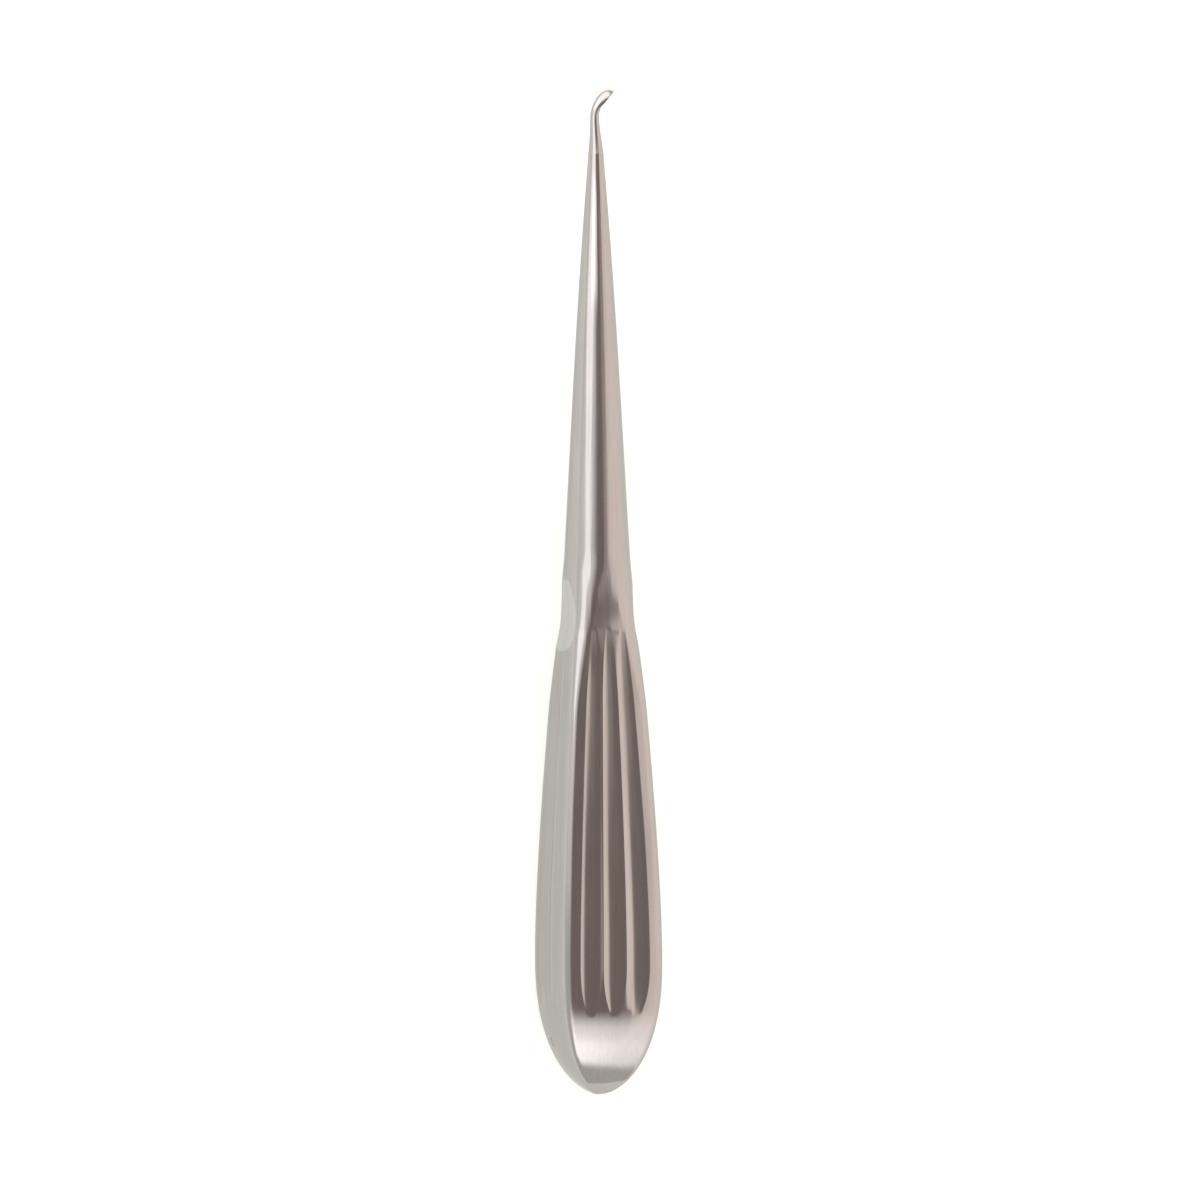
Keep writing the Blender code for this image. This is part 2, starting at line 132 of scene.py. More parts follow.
# Shank
SHANK_NECK_RADIUS = 5.73
SHANK_SLOPE = 0.0552
SHANK_BEND_STATION = 118.0
SHANK_BEND = 0.000316
TANG_RADIUS = 2.5
SPIGOT_RADIUS = 0.55
SPIGOT_LENGTH = 5.5
BORE_CLEARANCE = 0.3

# Handle inside
WALL = 1.35
CAVITY_START = 3.0
CAVITY_SHOULDER = 69.0
CAVITY_ROUNDING = 9.0                # length over which the butt end of the hollow opens
CAVITY_POINT = 0.02                  # share of the width that it opens from
CAVITY_CORNER = 0.35                 # corner radius as a share of the half width
BORE_STATION = 72.0
BORE_RADIUS = 4.3

# Joints, ground flush
SEAM_HALF = 0.12
JOINT_HALF = 0.2

# Vent plug
VENT_STATION = 8.9
VENT_SIDE = -2.3
VENT_RADIUS = 0.6
VENT_GAP = 0.09
VENT_DEPTH = 0.9
VENT_PROBE = 0.05                    # distance over which the surface's slope is taken
VENT_EDGE = 0.06
VENT_EDGE_STEPS = 6
VENT_DISH = ((0.7, -0.012), (0.4, -0.03), (0.0, -0.035))   # (share of the radius, height)
DRILL_DEPTH = 2.2
DRILL_ABOVE = 1.0

# Working tip
TIP_NECK_RADIUS = 0.755
TIP_FLARE = 0.6
TIP_FLARE_POWER = 1.5
TIP_SWAY = 0.2
TIP_BEND_STATION = 165.3
SPOON_HALF_WIDTH = 1.05
SPOON_WALL = 0.34
SPOON_RIM = 0.12
SPOON_WIDENED = 0.55                 # shares of the bent end, from its neck to its toe
SPOON_TOE_START = 0.6
SPOON_TOE_POWER = 2.4
CUP_START = 0.42
CUP_RUN = 0.18
TIP_OUTER_EDGE = ((-0.955, 165.3), (-0.95, 167.3), (0.8, 170.74), (3.2, 169.8))
TIP_INNER_EDGE = ((0.555, 165.3), (0.6, 167.3), (1.2, 167.5), (3.2, 169.7))

# How finely the skins are divided
SHARP_ANGLE = math.radians(32.0)
FLUTE_STEPS = 22
RAIL_STEPS = 16
INSIDE_STEPS = 32
WIDTH_SHARE = 0.55                   # least width of a flute's columns, as a share of the flute
BUTT_ROWS = 84
BUTT_FIRST_STATION = 0.02
BODY_SPACING = 0.9
NECK_SPACING = 0.3
SHANK_SPACING = 1.0
TIP_STEPS = 48
VENT_STEPS = 48
FLARE_STEPS = 20
SPOON_STEPS = 64
SPOON_EASE = 1.2
SPOON_END = 0.998

# Steels
ROUGHNESS_SPREAD = 0.02
SATIN = {"colour": (0.42, 0.405, 0.395), "roughness": 0.13, "brushing": 0.0011,
         "anisotropy": 0.2, "edge_tint": (0.78, 0.78, 0.76)}
POLISHED = {"colour": (0.43, 0.415, 0.405), "roughness": 0.15, "brushing": 0.0005,
            "anisotropy": 0.1, "edge_tint": (0.7, 0.7, 0.7)}
FILLER = {"colour": (0.417, 0.402, 0.392), "roughness": 0.135, "brushing": 0.0011,
          "anisotropy": 0.2, "edge_tint": (0.78, 0.78, 0.76)}
GROUND = {"colour": (0.455, 0.455, 0.437), "roughness": 0.26, "brushing": 0.0008,
          "anisotropy": 0.1, "edge_tint": (1.0, 1.0, 0.97)}

# Patterns in the steel: feature sizes across and along the instrument
FINE_STREAKS = (0.09, 9.0)
COARSE_STREAKS = (0.45, 30.0)
CLOUDS = (6.0, 16.0)
CLOUD_DETAIL = 4.0
GRAIN = (0.22, 0.3)
GRAIN_DETAIL = 1.0
NOISE_RANGE = (0.3, 0.7)
COARSE_SHARE = 0.55                  # of the streaks in the colour
CLOUD_SHARE = 0.35                   # of the colour
WEAR_CLOUD_SHARE = 0.5               # of the roughness
GRAIN_SHARE = 0.3                    # of the relief
DARKER = 0.90
LIGHTER = 1.06

# Camera
VIEW_ANGLE = math.radians(18.0)      # how far round to the left of the front face
VIEW_ROLL = math.radians(0.17)
VIEW_WIDTH = 203.0                   # width that the frame covers at the axis
VIEW_SHIFT = 0.47                    # the frame's middle is this far right of the axis
VIEW_STATION = 83.6
LENS = 135.0
SENSOR = 36.0
CLIP_START = 0.01

# Lights, in metres. Angles are degrees round the long axis from straight up, to the right.
SOFTBOX_ANGLE = -51.0
SOFTBOX_LEAN = 0.10                  # radians that its middle is further round than its facing
SOFTBOX_REACH = 0.25
SOFTBOX_ABOVE_NECK = 0.153
SOFTBOX_SIZE = (0.16, 0.27)
SOFTBOX_TURN = math.radians(37.0)
SOFTBOX_RADIANCE = 0.86
SOFTBOX_COLOUR = (1.0, 0.96, 0.96)
TIP_BOX_ANGLE = -30.0
TIP_BOX_STATION = TIP_BEND_STATION - 1.0
TIP_BOX_REACH = 0.09
TIP_BOX_SIZE = (0.07, 0.024)
TIP_BOX_RADIANCE = 1.0
TIP_BOX_COLOUR = (1.0, 0.97, 0.96)
STRIP_ANGLE = 14.0
STRIP_STATION = 131.5
STRIP_REACH = 0.10
STRIP_SIZE = (0.036, 0.084)
STRIP_RADIANCE = 0.24
STRIP_COLOUR = (1.0, 0.93, 0.90)

# Floor, in metres
FLOOR_SIZE = 12.0
FLOOR_DROP = 0.00002
FLOOR_ROUGHNESS = 0.9
FLOOR_COLOUR = (0.40, 0.40, 0.385)
FLOOR_GLOW_COLOUR = (1.0, 1.015, 0.975)
FLOOR_GLOW = 0.65


def shade(colour, amount):
    return tuple(part * amount for part in colour)


# Light tent, as linear colours
TENT_LEFT = (0.96, 0.94, 0.90)
TENT_GLOW = (1.25, 1.20, 1.18)
TENT_RIGHT = (1.38, 1.21, 1.11)
TENT_END = (0.80, 0.77, 0.72)
SLOT = (0.33, 0.265, 0.25)
BUTT_GLOW = (2.42, 2.33, 2.30)
TIP_GLOW = (2.3, 2.22, 2.18)

# The tent's walls: (degrees round the long axis from straight up, colour)
OVER_SHANK = (
    (-90, shade(TENT_LEFT, 1.08)),
    (-78, shade(TENT_LEFT, 1.2)),
    (-66, TENT_GLOW),
    (-34, TENT_GLOW),
    (-10, SLOT),
    (24, shade(SLOT, 1.05)),
    (31, shade(TENT_RIGHT, 0.88)),
    (46, TENT_RIGHT),
    (60, TENT_RIGHT),
)
OVER_HANDLE = (
    (-90, TENT_LEFT),
    (-60, shade(TENT_LEFT, 0.85)),
    (-30, shade(TENT_LEFT, 0.85)),
    (-8, SLOT),
    (23, SLOT),
    (28, shade(TENT_RIGHT, 0.97)),
    (45, TENT_RIGHT),
    (90, TENT_RIGHT),
)

# Where the tent changes, as tilts towards the tip in radians
HANDLE_TO_SHANK = (-0.02, 0.09)
NECK_TURN = math.radians(8.75)       # the tent is turned this far round over the neck
NECK_TURN_START = (0.05, 0.10)
NECK_TURN_END = (0.11, 0.15)
END_WALL = (math.radians(20.0), math.radians(50.0))

# Two patches of glow: shares by degrees of tilt, then by degrees round the long axis
BUTT_GLOW_TILT = ((-61, 0.0), (-52, 1.0), (-41, 1.0), (-30, 0.65), (-19, 0.0))
BUTT_GLOW_ROUND = ((-50, 0.0), (-25, 1.0), (13, 1.0), (34, 0.6), (60, 0.35))
TIP_GLOW_TILT = ((17, 0.0), (30, 1.0))
TIP_GLOW_ROUND = ((-130, 0.0), (-110, 1.0), (25, 1.0), (45, 0.0))


def smooth(x):
    x = min(max(x, 0.0), 1.0)
    return x * x * (3.0 - 2.0 * x)


def mix(a, b, x):
    return a + (b - a) * x


def soft_max(a, b, softness):
    return 0.5 * (a + b + math.sqrt((a - b) ** 2 + softness ** 2))


def soft_min(a, b, softness):
    return -soft_max(-a, -b, softness)


def bezier(points, u):
    a, b, c, d = points
    v = 1.0 - u
    return [v * v * v * p + 3.0 * v * v * u * q + 3.0 * v * u * u * r + u * u * u * t
            for p, q, r, t in zip(a, b, c, d)]


def place(x, station, z):
    """A point in metres from its offsets to the long axis and its station."""
    return Vector((x * MM, BUTT_Y + station * MM, AXIS_Z + z * MM))


# ---------------------------------------------------------------- outline

def shank_radius(station):
    bend = max(station - SHANK_BEND_STATION, 0.0)
    return SHANK_NECK_RADIUS - SHANK_SLOPE * (station - NECK_STATION) - SHANK_BEND * bend * bend


def body_half(station):
    """Half the handle's width between the belly and the neck's flats."""
    outline = (
        (FLAT_END_STATION, NECK_FLAT),
        (FLAT_END_STATION - BULGE_BELOW_NECK, NECK_FLAT + NECK_SLOPE * BULGE_BELOW_NECK),
        (BELLY_STATION + BULGE_ABOVE_BELLY, BELLY_HALF),
        (BELLY_STATION, BELLY_HALF),
    )
    low, high = 0.0, 1.0
    for _ in range(SEARCH_STEPS):
        middle = 0.5 * (low + high)
        if bezier(outline, middle)[0] > station:
            low = middle
        else:
            high = middle
    return bezier(outline, low)[1]


def neck_half(station):
    """Half the neck's width between its lower end and the shank's joint."""
    length = NECK_STATION - FLAT_END_STATION
    u = (station - FLAT_END_STATION) / length
    slope = -NECK_END_SLOPE * length
    towards = u * u * (3.0 - 2.0 * u)
    return mix(NECK_FLAT, SHANK_NECK_RADIUS, towards) + slope * u * (1.0 - u) * (1.0 - 2.0 * u)


def section_half(station):
    """Half the width across flats of the handle and the shank."""
    if station >= NECK_STATION:
        return shank_radius(station)
    if station >= FLAT_END_STATION:
        return neck_half(station)
    if station > BELLY_STATION:
        return body_half(station)
    along = 1.0 - station / BELLY_STATION
    across = max(1.0 - along ** BUTT_POWER_ALONG, 0.0) ** (1.0 / BUTT_POWER_ACROSS)
    return BELLY_HALF * across


def corner_radius(station):
    half = section_half(station)
    if station >= ROUND_STATION:
        return half
    if station <= BELLY_STATION:
        return CORNER_RADIUS * half / BELLY_HALF
    x = (ROUND_STATION - station) / CORNER_GROWTH
    x = min(math.hypot(x, CORNER_EASE) - CORNER_EASE, 1.0)
    return mix(CORNER_RADIUS, min(half, NECK_FLAT), (1.0 - x) ** CORNER_FADE)


def bow_curvature(station):
    full = BELLY_HALF / (BOW_RADIUS * max(section_half(station), BOW_LEAST_HALF))
    return mix(NECK_BOW, full, smooth((FLAT_END_STATION - station) / FLUTE_NECK_RUN))


def face_height(across, half, corner, curvature):
    """Height of a plain face above the axis, at a distance from the face's middle line."""
    across = abs(across)
    centre = half - corner
    if curvature * half < PLAIN_FACE:
        if across <= centre:
            return half
        return centre + math.sqrt(max(corner ** 2 - (across - centre) ** 2, 0.0))
    bow = 1.0 / curvature
    bow_centre = centre - math.sqrt((bow - corner) ** 2 - centre ** 2)
    join = centre + corner * centre / (bow - corner)
    if across <= join:
        return bow_centre + math.sqrt(bow ** 2 - across ** 2)
    return centre + math.sqrt(max(corner ** 2 - (across - centre) ** 2, 0.0))


def flute_fill(station):
    """How far a flute is sunk, from 0 at its two ends to 1 along its middle."""
    butt = min(max((station - FLUTE_BUTT_STATION) / FLUTE_BUTT_RUN, 0.0), 1.0)
    neck = min(max((FLUTE_NECK_STATION - station) / FLUTE_NECK_RUN, 0.0), 1.0)
    return butt * (2.0 - butt) * neck * (2.0 - neck)


class Section:
    """One cross section of the handle or the shank."""

    def __init__(self, station):
        self.station = station
        self.half = section_half(station)
        self.corner = corner_radius(station)
        self.curvature = bow_curvature(station)
        self.fill = flute_fill(station)
        self.edge = (self.half - self.corner) + self.corner * math.sqrt(0.5)
        field = max(self.half - RAIL_WIDTH, FIELD_SHARE * self.half)
        self.field = min(field, self.edge)
        self.pitch = 2.0 * self.field / 3.0
        self.flute_half = 0.5 * self.pitch - FLUTE_LAND * min(self.pitch, 1.0)
        self.scoop = scoop_limit(station)

    def sink(self, across):
        """Depth of the flutes below the plain face."""
        if self.fill <= 0.0:
            return 0.0
        width = self.flute_half * math.sqrt(self.fill)
        depth = self.fill * self.flute_half * math.tan(FLUTE_WALL_ANGLE) / FLUTE_POWER
        face = self.face(across)
        deepest = 0.0
        for flute in FLUTES:
            offset = min(abs(across - flute * self.pitch) / width, FLUTE_REACH)
            level = self.fill * (self.face(flute * self.pitch) - face)
            below = depth * (1.0 - offset ** FLUTE_POWER) - level
            deepest = max(deepest, soft_max(below, 0.0, FLUTE_EDGE_SOFTNESS))
        return deepest * min(self.fill * FLUTE_FADE, 1.0)

    def face(self, across):
        return face_height(across, self.half, self.corner, self.curvature)

    def height(self, across):
        return self.face(across) - self.sink(across)

    def half_spots(self, start):
        """Places across half a face, from start to the corner."""
        width = self.flute_half * max(math.sqrt(self.fill), WIDTH_SHARE)
        spots = []
        for i in range(FLUTE_STEPS // 2 + 1):
            ease = math.sin(0.5 * math.pi * 2.0 * i / FLUTE_STEPS)
            spots.append(mix(start, width, ease))
        for i in range(FLUTE_STEPS + 1):
            ease = math.sin(0.5 * math.pi * (2.0 * i / FLUTE_STEPS - 1.0))
            spots.append(self.pitch + width * ease)
        for i in range(RAIL_STEPS):
            spots.append(mix(self.field, self.edge, (i + 1) / RAIL_STEPS))
        return spots

    def cut_side(self, x):
        """Trim the left and right faces by the scoops."""
        if self.scoop is None:
            return x
        trimmed = soft_min(abs(x), self.scoop, SCOOP_EDGE_SOFTNESS)
        return math.copysign(trimmed, x)

    def half_ring(self, start):
        """The front half of the outline, from right to left, between heights of start."""
        side = self.half_spots(start)
        face = self.half_spots(0.0)
        ring = [(self.height(spot), spot) for spot in side]
        ring += [(spot, self.height(spot)) for spot in reversed(face[:-1])]
        ring += [(-spot, self.height(spot)) for spot in face[1:]]
        ring += [(-self.height(spot), spot) for spot in reversed(side[:-1])]
        return [(self.cut_side(x), z) for x, z in ring]

    def ring(self):
        """The whole outline."""
        front = self.half_ring(0.0)
        if self.scoop is None:
            return front + [(-x, -z) for x, z in front[1:-1]]
        return front + [(x, -z) for x, z in reversed(front[1:-1])]


def scoop_limit(station):
    """Distance from the axis that the scoops leave standing."""
    along = station - SCOOP_STATION
    if abs(along) > SCOOP_REACH:
        return None
    radius = SCOOP_UPPER_RADIUS if along > 0.0 else SCOOP_LOWER_RADIUS
    return SCOOP_OFFSET + radius - math.sqrt(radius ** 2 - along ** 2)


# ---------------------------------------------------------------- mesh helpers

def loft(name, rows, closed=False):
    """Join rows of points in order. Rows that are a single point close an end."""
    work = bmesh.new()
    grid = [[work.verts.new(point) for point in row] for row in rows]
    pairs = list(zip(grid, grid[1:]))
    if closed:
        pairs.append((grid[-1], grid[0]))
    for row, following in pairs:
        for i, corner in enumerate(row):
            work.faces.new((row[i - 1], corner, following[i], following[i - 1]))
    if not closed:
        for end in (grid[0], grid[-1]):
            if (end[0].co - end[len(end) // 2].co).length > SAME_POINT:
                work.faces.new(end)
    bmesh.ops.remove_doubles(work, verts=work.verts, dist=MERGE_DISTANCE)
    bmesh.ops.recalc_face_normals(work, faces=work.faces)
    mesh = bpy.data.meshes.new(name)
    work.to_mesh(mesh)
    work.free()
    return mesh


def add_piece(name, mesh, material, stands_for):
    piece = bpy.data.objects.new(name, mesh)
    bpy.context.scene.collection.objects.link(piece)
    mesh.materials.clear()
    mesh.materials.append(material)
    mesh.shade_smooth()
    mesh.set_sharp_from_angle(angle=SHARP_ANGLE)
    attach(piece, "root")
    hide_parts(stands_for)
    return piece


# ---------------------------------------------------------------- handle

def handle_stations():
    first = math.acos(1.0 - BUTT_FIRST_STATION / BELLY_STATION)
    stations = []
    for i in range(BUTT_ROWS + 1):
        angle = mix(first, 0.5 * math.pi, i / BUTT_ROWS)
        stations.append(BELLY_STATION * (1.0 - math.cos(angle)))
    runout = FLUTE_NECK_STATION - FLUTE_NECK_RUN
    stations += even_stations(BELLY_STATION, runout, BODY_SPACING)
    stations += even_stations(runout, NECK_STATION - JOINT_HALF, NECK_SPACING)
    return stations


def even_stations(start, end, spacing):
    """Stations after start, up to and with end."""
    count = math.ceil(abs(end - start) / spacing)
    return [mix(start, end, (i + 1) / count) for i in range(count)]


def inner_station(station):
    """The hollow's station that belongs to a station of the outside."""
    end = NECK_STATION - JOINT_HALF
    return mix(CAVITY_START, end, station / end)


def inner_half_ring(station, start):
    """The front half of the hollow's outline, from right to left."""
    inside = inner_station(station)
    opening = math.sqrt(smooth((inside - CAVITY_START) / CAVITY_ROUNDING))
    square = (section_half(inside) - WALL) * max(opening, CAVITY_POINT)
    narrowing = smooth((inside - CAVITY_SHOULDER) / (BORE_STATION - CAVITY_SHOULDER))
    half = mix(square, BORE_RADIUS, narrowing)
    corner = mix(CAVITY_CORNER * half, BORE_RADIUS, narrowing)
    points = []
    for i in range(INSIDE_STEPS + 1):
        angle = math.pi * i / INSIDE_STEPS
        reach = rounded_square_reach(angle, half, min(corner, half))
        points.append((reach * math.cos(angle), max(reach * math.sin(angle), start)))
    return points


def rounded_square_reach(angle, half, corner):
    """Distance from the middle of a rounded square to its outline, in a direction."""
    direction = Vector((abs(math.cos(angle)), abs(math.sin(angle))))
    if direction.x < direction.y:
        direction = Vector((direction.y, direction.x))
    flat = half / direction.x
    centre = half - corner
    if flat * direction.y <= centre:
        return flat
    towards = centre * (direction.x + direction.y)
    return towards + math.sqrt(max(towards ** 2 - 2.0 * centre ** 2 + corner ** 2, 0.0))


def shell_rows(side):
    """Closed sections of one half shell. Side is 1 for the front and -1 for the rear."""
    rows = []
    for station in handle_stations():
        outer = [place(x, station, side * z) for x, z in Section(station).half_ring(SEAM_HALF)]
        inner = [place(x, inner_station(station), side * z)
                 for x, z in inner_half_ring(station, SEAM_HALF)]
        rows.append(outer + inner[::-1])
    outer_pole = place(0.0, 0.5 * BUTT_FIRST_STATION, side * SEAM_HALF)
    inner_pole = place(0.0, CAVITY_START, side * SEAM_HALF)
    inner_count = INSIDE_STEPS + 1
    outer_count = len(rows[0]) - inner_count
    return [[outer_pole] * outer_count + [inner_pole] * inner_count] + rows


def seam_rows():
    """Sections of the bead, from the neck down the right side and up the left one."""
    steps = (-1.0, -0.5, 0.0, 0.5, 1.0)
    right = []
    for station in reversed(handle_stations()):
        section = Section(station)
        outer = [place(section.cut_side(section.height(SEAM_HALF * step)), station, SEAM_HALF * step)
                 for step in steps]
        reach = inner_half_ring(station, SEAM_HALF)[0][0]
        inside = inner_station(station)
        right.append(outer + [place(reach, inside, SEAM_HALF), place(reach, inside, -SEAM_HALF)])
    pole = [place(0.0, 0.5 * BUTT_FIRST_STATION * abs(step), SEAM_HALF * step) for step in steps]
    pole += [place(0.0, CAVITY_START, SEAM_HALF), place(0.0, CAVITY_START, -SEAM_HALF)]
    left = [[Vector((-point.x, point.y, point.z)) for point in row] for row in reversed(right)]
    return right + [pole] + left


def vent_frame():
    """Centre and outward direction of the vent, on the surface of the left face."""
    def surface(station, side):
        return place(-Section(station).height(side), station, side)

    along = (surface(VENT_STATION + VENT_PROBE, VENT_SIDE)
             - surface(VENT_STATION - VENT_PROBE, VENT_SIDE))
    across = (surface(VENT_STATION, VENT_SIDE + VENT_PROBE)
              - surface(VENT_STATION, VENT_SIDE - VENT_PROBE))
    outward = along.cross(across).normalized()
    if outward.x > 0.0:
        outward = -outward
    return surface(VENT_STATION, VENT_SIDE), outward


def turned_rows(profile, count):
    """Rows for a turned shape about the Z axis, from (radius, height) points."""
    rows = []
    for radius, height in profile:
        rows.append([Vector((radius * math.cos(2.0 * math.pi * i / count),
                             radius * math.sin(2.0 * math.pi * i / count), height)) * MM
                     for i in range(count)])
    return rows


def vent_matrix():
    centre, outward = vent_frame()
    return Matrix.Translation(centre) @ outward.to_track_quat('Z', 'Y').to_matrix().to_4x4()


def cut_vent(piece):
    """Drill the vent through the rear shell."""
    radius = VENT_RADIUS + VENT_GAP
    profile = [(0.0, -DRILL_DEPTH), (radius, -DRILL_DEPTH), (radius, DRILL_ABOVE), (0.0, DRILL_ABOVE)]
    mesh = loft("vent_drill", turned_rows(profile, VENT_STEPS))
    mesh.transform(vent_matrix())
    drill = bpy.data.objects.new("vent_drill", mesh)
    bpy.context.scene.collection.objects.link(drill)
    cut = piece.modifiers.new("vent", 'BOOLEAN')
    cut.operation = 'DIFFERENCE'
    cut.solver = 'EXACT'
    cut.object = drill
    bpy.context.view_layer.update()
    evaluated = piece.evaluated_get(bpy.context.evaluated_depsgraph_get())
    drilled = bpy.data.meshes.new_from_object(evaluated)
    piece.modifiers.clear()
    piece.data = drilled
    bpy.data.objects.remove(drill)


def finish_scoops(piece, material):
    """Give the ground scoops a finish of their own."""
    mesh = piece.data
    mesh.materials.append(material)
    for face in mesh.polygons:
        limit = scoop_limit(station_of(face.center.y))
        if limit is None:
            continue
        depth = abs(abs(face.center.x) / MM - limit)
        if depth < SCOOP_EDGE_SOFTNESS and abs(face.normal.z) < SCOOP_FACING:
            face.material_index = 1


def make_handle(satin, ground, filler):
    front = loft("handle_front_skin", shell_rows(1.0))
    front_piece = add_piece("handle_front_skin", front, satin, "handle_front_shell")
    rear = loft("handle_rear_skin", shell_rows(-1.0))
    rear_piece = add_piece("handle_rear_skin", rear, satin, "handle_rear_shell")
    cut_vent(rear_piece)
    finish_scoops(front_piece, ground)
    finish_scoops(rear_piece, ground)
    seam = loft("seam_bead", seam_rows())
    add_piece("seam_bead", seam, filler, "seam_weld")


def make_vent(filler):
    """The plug: a disc with a rounded edge and a slightly dished top."""
    profile = [(0.0, -VENT_DEPTH), (VENT_RADIUS, -VENT_DEPTH)]
    for i in range(VENT_EDGE_STEPS + 1):
        angle = 0.5 * math.pi * i / VENT_EDGE_STEPS
        radius = VENT_RADIUS - VENT_EDGE + VENT_EDGE * math.cos(angle)
        profile.append((radius, -VENT_EDGE + VENT_EDGE * math.sin(angle)))
    profile += [(VENT_RADIUS * share, height) for share, height in VENT_DISH]
    plug = loft("vent_disc", turned_rows(profile, VENT_STEPS))
    plug.transform(vent_matrix())
    add_piece("vent_disc", plug, filler, "vent_plug")


# ---------------------------------------------------------------- shank and its joints

def round_like(ring, radius):
    """A circle whose points lie in the same directions as a ring's."""
    made = []
    for x, z in ring:
        length = math.hypot(x, z)
        made.append((x / length * radius, z / length * radius))
    return made


def at_station(ring, station):
    return [place(x, station, z) for x, z in ring]


def make_shank(satin):
    shoulder = NECK_STATION + JOINT_HALF
    top = TIP_STATION - JOINT_HALF
    bore_end = TIP_STATION + JOINT_HALF - SPIGOT_LENGTH
    bore = SPIGOT_RADIUS + BORE_CLEARANCE
    base = Section(shoulder).ring()
    rows = [at_station(round_like(base, POINT_RADIUS), TANG_END_STATION),
            at_station(round_like(base, TANG_RADIUS), TANG_END_STATION),
            at_station(round_like(base, TANG_RADIUS), shoulder)]
    for station in [shoulder] + even_stations(shoulder, top, SHANK_SPACING):
        rows.append(at_station(Section(station).ring(), station))
    rows += [at_station(round_like(base, bore), top),
             at_station(round_like(base, bore), bore_end),
             at_station(round_like(base, POINT_RADIUS), bore_end)]
    add_piece("shank_skin", loft("shank_skin", rows), satin, "shank")


def make_joint(name, station, inner, material, stands_for):
    """A filler ring that is ground flush."""
    low, high = station - JOINT_HALF, station + JOINT_HALF
    ring = Section(station).ring()
    rows = [at_station(Section(low).ring(), low), at_station(ring, station),
            at_station(Section(high).ring(), high),
            at_station(round_like(ring, inner), high), at_station(round_like(ring, inner), low)]
    add_piece(name, loft(name, rows, closed=True), material, stands_for)


# ---------------------------------------------------------------- working tip

def spoon_section(x, thickness):
    """Section of the bent end at x from 0 (neck) to 1 (toe): (sideways, outward) pairs."""
    spread = smooth(x / SPOON_WIDENED)
    beyond = max((x - SPOON_TOE_START) / (1.0 - SPOON_TOE_START), 0.0)
    toe = math.sqrt(max(1.0 - beyond ** SPOON_TOE_POWER, 0.0))
    half_width = mix(TIP_NECK_RADIUS, SPOON_HALF_WIDTH, spread) * toe
    centre = thickness * mix(0.5, 0.0, spread)
    cup = smooth((x - CUP_START) / CUP_RUN)
    inner = mix(centre, -max(thickness - centre - SPOON_WALL, 0.0), cup)
    rim = SPOON_RIM * cup * toe
    points = []
    for i in range(TIP_STEPS):
        angle = 2.0 * math.pi * i / TIP_STEPS
        sideways = math.cos(angle)
        lift = math.sin(angle)
        if lift >= 0.0:
            points.append((half_width * sideways, centre + (thickness - centre) * lift))
        else:
            points.append(((half_width - rim) * sideways, centre + inner * lift))
    return points


def spoon_ring(x):
    outer = Vector(bezier(TIP_OUTER_EDGE, x))
    inner = Vector(bezier(TIP_INNER_EDGE, x))
    outward = (outer - inner).normalized()
    ring = []
    for sideways, lift in spoon_section(x, (outer - inner).length):
        spot = inner + outward * lift
        ring.append(place(spot.x, spot.y, sideways))
    return ring


def round_ring(radius, station, lean):
    angles = [2.0 * math.pi * i / TIP_STEPS for i in range(TIP_STEPS)]
    return [place(-lean - radius * math.sin(a), station, radius * math.cos(a)) for a in angles]


def make_tip(polished):
    foot = TIP_STATION + JOINT_HALF
    rows = [round_ring(0.0, foot - SPIGOT_LENGTH, 0.0),
            round_ring(SPIGOT_RADIUS, foot - SPIGOT_LENGTH, 0.0),
            round_ring(SPIGOT_RADIUS, foot, 0.0)]
    for i in range(FLARE_STEPS):
        station = mix(foot, TIP_BEND_STATION, i / FLARE_STEPS)
        spread = (TIP_BEND_STATION - station) / (TIP_BEND_STATION - TIP_STATION)
        lean = TIP_SWAY * smooth((station - foot) / (TIP_BEND_STATION - foot))
        radius = TIP_NECK_RADIUS + TIP_FLARE * spread ** TIP_FLARE_POWER
        rows.append(round_ring(radius, station, lean))
    for i in range(SPOON_STEPS + 1):
        ease = math.sin(0.5 * math.pi * i / SPOON_STEPS) ** SPOON_EASE
        rows.append(spoon_ring(min(ease, SPOON_END)))
    add_piece("polished_tip", loft("polished_tip", rows), polished, "working_tip")


# ---------------------------------------------------------------- materials

def add_node(tree, kind, inputs=None, **settings):
    made = tree.nodes.new(kind)
    for name, value in settings.items():
        setattr(made, name, value)
    for name, value in (inputs or {}).items():
        if isinstance(value, bpy.types.NodeSocket):
            tree.links.new(value, made.inputs[name])
        else:
            made.inputs[name].default_value = value
    return made


def stretched_noise(tree, across, along, detail=2.0):
    """Noise in streaks along Y: feature sizes in millimetres across and along."""
    spots = add_node(tree, 'ShaderNodeTexCoord').outputs['Object']
    scale = (1.0 / (across * MM), 1.0 / (along * MM), 1.0 / (across * MM))
    moved = add_node(tree, 'ShaderNodeMapping', {'Vector': spots, 'Scale': scale})
    noise = add_node(tree, 'ShaderNodeTexNoise',
                     {'Vector': moved.outputs['Vector'], 'Scale': 1.0, 'Detail': detail})
    return noise.outputs['Fac']


def math_node(tree, operation, a, b):
    made = add_node(tree, 'ShaderNodeMath', operation=operation)
    for socket, value in zip(made.inputs, (a, b)):
        if isinstance(value, bpy.types.NodeSocket):
            tree.links.new(value, socket)
        else:
            socket.default_value = value
    return made.outputs['Value']


def spread_node(tree, value, low, high, to_low, to_high):
    made = add_node(tree, 'ShaderNodeMapRange',
                    {'Value': value, 'From Min': low, 'From Max': high,
                     'To Min': to_low, 'To Max': to_high})
    return made.outputs['Result']


